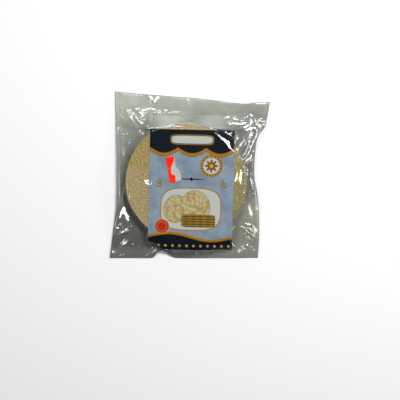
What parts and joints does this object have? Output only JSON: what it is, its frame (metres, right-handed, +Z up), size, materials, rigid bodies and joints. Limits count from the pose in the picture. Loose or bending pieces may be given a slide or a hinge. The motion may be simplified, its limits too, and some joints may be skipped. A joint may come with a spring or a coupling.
{
  "type": "stack of papads in a sealed bag",
  "caption": "Round stack of thin lentil papads under a printed card, sealed flat in a creased clear film bag with a wide top band and the remains of a price sticker.",
  "frame": {"origin": "on the surface that the bag lies on, under the middle of the bag's outline", "axes": "+Z up out of the printed side, +Y from the bag's bottom edge towards its wide top band, +X to the right as the card is seen"},
  "size_m": [0.202, 0.2096, 0.0172],
  "materials": {
    "film": "clear thin film, glossy, creased",
    "papad": "dry, matt, speckled",
    "card": "printed card, satin",
    "sticker": "torn paper, matt"
  },
  "bodies": {
    "root": {"sealed_bag": "film", "sticker_remnant": "sticker"}
  },
  "joints": []
}
